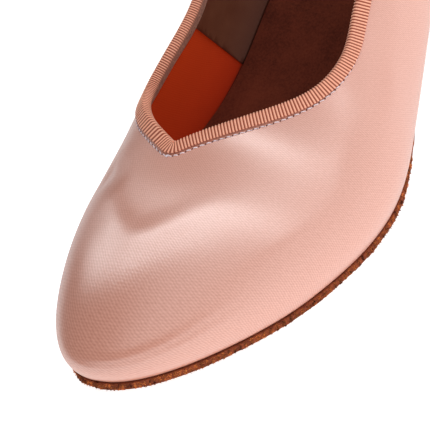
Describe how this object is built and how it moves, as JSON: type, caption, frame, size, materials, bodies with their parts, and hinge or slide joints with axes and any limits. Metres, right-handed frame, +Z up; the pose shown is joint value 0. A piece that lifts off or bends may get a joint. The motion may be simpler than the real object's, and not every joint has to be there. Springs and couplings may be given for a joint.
{
  "type": "latin dance shoe",
  "caption": "Closed satin dance shoe for the left foot, with a bound V throat, a thin suede sole and a flared covered heel.",
  "frame": {"origin": "on the floor under the middle of the heel tip, where the shoe stands on it", "axes": "+Z up, -Y towards the toe, +X to the wearer's left, the shoe's outer side"},
  "size_m": [0.0874, 0.2438, 0.1184],
  "materials": {
    "satin": "satin weave, pale pink, soft sheen",
    "binding": "ribbed grosgrain tape",
    "insole": "dark brown suede",
    "outsole": "brown split suede, rough edge",
    "heel_cover": "satin over a moulded heel",
    "heel_tip": "dark brown, matt"
  },
  "bodies": {
    "root": {"upper": "satin", "binding": "binding", "insole": "insole", "outsole": "outsole", "heel": "heel_cover", "heel_tip": "heel_tip"}
  },
  "joints": []
}
